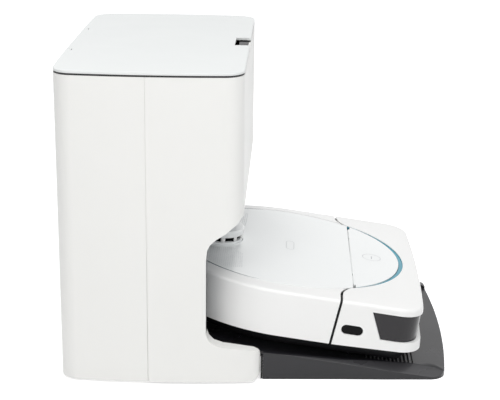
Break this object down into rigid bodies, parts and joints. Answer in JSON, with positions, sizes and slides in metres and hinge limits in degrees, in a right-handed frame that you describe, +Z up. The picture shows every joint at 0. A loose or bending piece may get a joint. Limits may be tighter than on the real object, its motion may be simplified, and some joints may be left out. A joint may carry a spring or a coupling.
{
  "type": "robot vacuum with self-emptying station",
  "caption": "Round-backed floor-cleaning robot docked nose-down on the ramp of a tall self-emptying station with a hinged lid.",
  "frame": {"origin": "centre of the bounding box at floor level", "axes": "+Z up, +X out of the parking bay towards the ramp's front edge, +Y to the left of the robot as it drives out"},
  "size_m": [0.4863, 0.396, 0.388],
  "materials": {
    "station_white": "smooth warm white",
    "liner_grey": "smooth mid grey",
    "ramp_grey": "satin dark grey",
    "soft_rubber": "matt",
    "dark_plastic": "matt",
    "steel": "bright",
    "filter_cloth": "felted",
    "card": "plain",
    "contact_metal": "plated",
    "dark_window": "glossy",
    "motor_metal": "plain",
    "pale_plastic": "smooth",
    "black_plastic": "satin",
    "board_green": "coated board",
    "robot_white": "glossy",
    "plate_gloss": "high gloss",
    "light_teal": "glossy",
    "clear_plastic": "smoked",
    "battery_wrap": "shrink wrap",
    "mop_cloth": "short pile",
    "tread": "matt",
    "brush_rubber": "matt"
  },
  "bodies": {
    "station": {"rear_shell": "station_white", "front_shell": "station_white", "recess_liner": "liner_grey", "docking_ramp": "ramp_grey", "station_feet": "soft_rubber", "top_deck": "dark_plastic", "lid_seal": "soft_rubber", "lid_hinge_pins": "steel", "bag_chamber": "dark_plastic", "dust_bag": "filter_cloth", "bag_collar": "card", "air_duct": "dark_plastic", "port_seal": "soft_rubber", "station_contacts": "contact_metal", "signal_window": "dark_window", "motor_housing": "dark_plastic", "suction_motor": "motor_metal", "exhaust_filter": "filter_cloth", "exhaust_grille": "station_white", "power_socket": "black_plastic", "control_board": "board_green", "station_screws": "steel"},
    "lid": {"top_lid": "station_white"},
    "latch": {"lid_latch": "dark_plastic"},
    "station_impeller": {"suction_impeller": "pale_plastic"},
    "robot": {"chassis": "black_plastic", "body_shell": "robot_white", "top_plate": "plate_gloss", "light_strip": "light_teal", "turret_ring": "black_plastic", "turret_cap": "plate_gloss", "dust_bin": "clear_plastic", "bin_filter": "filter_cloth", "battery": "battery_wrap", "main_board": "board_green", "fan_housing": "dark_plastic", "water_tank": "clear_plastic", "mop_plate": "pale_plastic", "mop_pad": "mop_cloth", "brush_guard": "dark_plastic", "robot_contacts": "contact_metal", "sensor_windows": "dark_window"},
    "bumper": {"bumper": "robot_white", "bumper_window": "dark_window", "side_windows": "dark_window"},
    "cover": {"front_cover": "plate_gloss"},
    "button": {"power_button": "pale_plastic"},
    "scanner": {"lidar_head": "black_plastic"},
    "robot_impeller": {"robot_fan": "pale_plastic"},
    "left_arm": {"left_wheel_arm": "black_plastic"},
    "right_arm": {"right_wheel_arm": "black_plastic"},
    "left_wheel": {"left_wheel_hub": "dark_plastic", "left_tyre": "tread"},
    "right_wheel": {"right_wheel_hub": "dark_plastic", "right_tyre": "tread"},
    "caster": {"caster_fork": "dark_plastic"},
    "caster_roller": {"caster_wheel": "dark_plastic"},
    "roller_brush": {"main_brush": "brush_rubber"},
    "corner_brush": {"side_brush": "brush_rubber"}
  },
  "joints": [
    {"name": "lid_hinge", "type": "hinge", "parent": "station", "child": "lid", "pos_m": [-0.242, 0, 0.3865], "axis": [0, -1, 0], "range_deg": [0, 80]},
    {"name": "latch_press", "type": "slide", "parent": "station", "child": "latch", "axis": [-1, 0, 0], "range_m": [0, 0.003], "stiffness_N_per_m": 300},
    {"name": "station_impeller_spin", "type": "hinge", "parent": "station", "child": "station_impeller", "pos_m": [-0.195, -0.075, 0.181], "axis": [0, 0, 1], "continuous": true},
    {"name": "robot_drive_off", "type": "slide", "parent": "station", "child": "robot", "axis": [0.9907, 0, -0.1357], "range_m": [0, 0.07]},
    {"name": "bumper_press", "type": "slide", "parent": "robot", "child": "bumper", "axis": [-0.9907, 0, 0.1357], "range_m": [0, 0.002], "stiffness_N_per_m": 800},
    {"name": "cover_hinge", "type": "hinge", "parent": "robot", "child": "cover", "pos_m": [0.12114, 0, 0.09887], "axis": [0, -1, 0], "range_deg": [0, 75]},
    {"name": "button_press", "type": "slide", "parent": "robot", "child": "button", "axis": [-0.1357, 0, -0.9907], "range_m": [0, 0.0015], "stiffness_N_per_m": 300},
    {"name": "scanner_spin", "type": "hinge", "parent": "robot", "child": "scanner", "pos_m": [-0.06303, 0, 0.12713], "axis": [0.1357, 0, 0.9907], "continuous": true},
    {"name": "robot_impeller_spin", "type": "hinge", "parent": "robot", "child": "robot_impeller", "pos_m": [0.0035, 0.05, 0.06755], "axis": [0.1357, 0, 0.9907], "continuous": true},
    {"name": "left_arm_swing", "type": "hinge", "parent": "robot", "child": "left_arm", "pos_m": [0.06691, 0, 0.05886], "axis": [0, 1, 0], "range_deg": [0, 4], "stiffness_Nm_per_rad": 6},
    {"name": "right_arm_swing", "type": "hinge", "parent": "robot", "child": "right_arm", "pos_m": [0.06691, 0, 0.05886], "axis": [0, 1, 0], "range_deg": [0, 4], "stiffness_Nm_per_rad": 6},
    {"name": "left_wheel_roll", "type": "hinge", "parent": "left_arm", "child": "left_wheel", "pos_m": [0.02728, 0.119, 0.06429], "axis": [0, 1, 0], "continuous": true},
    {"name": "right_wheel_roll", "type": "hinge", "parent": "right_arm", "child": "right_wheel", "pos_m": [0.02728, -0.119, 0.06429], "axis": [0, 1, 0], "continuous": true},
    {"name": "caster_swivel", "type": "hinge", "parent": "robot", "child": "caster", "pos_m": [0.16148, 0, 0.04187], "axis": [0.1357, 0, 0.9907], "continuous": true},
    {"name": "caster_roll", "type": "hinge", "parent": "caster", "child": "caster_roller", "pos_m": [0.15305, 0, 0.02455], "axis": [0, 1, 0], "continuous": true},
    {"name": "main_brush_spin", "type": "hinge", "parent": "robot", "child": "roller_brush", "pos_m": [0.09466, 0, 0.04043], "axis": [0, 1, 0], "continuous": true},
    {"name": "side_brush_spin", "type": "hinge", "parent": "robot", "child": "corner_brush", "pos_m": [0.15921, 0.1, 0.01796], "axis": [0.1357, 0, 0.9907], "continuous": true}
  ]
}
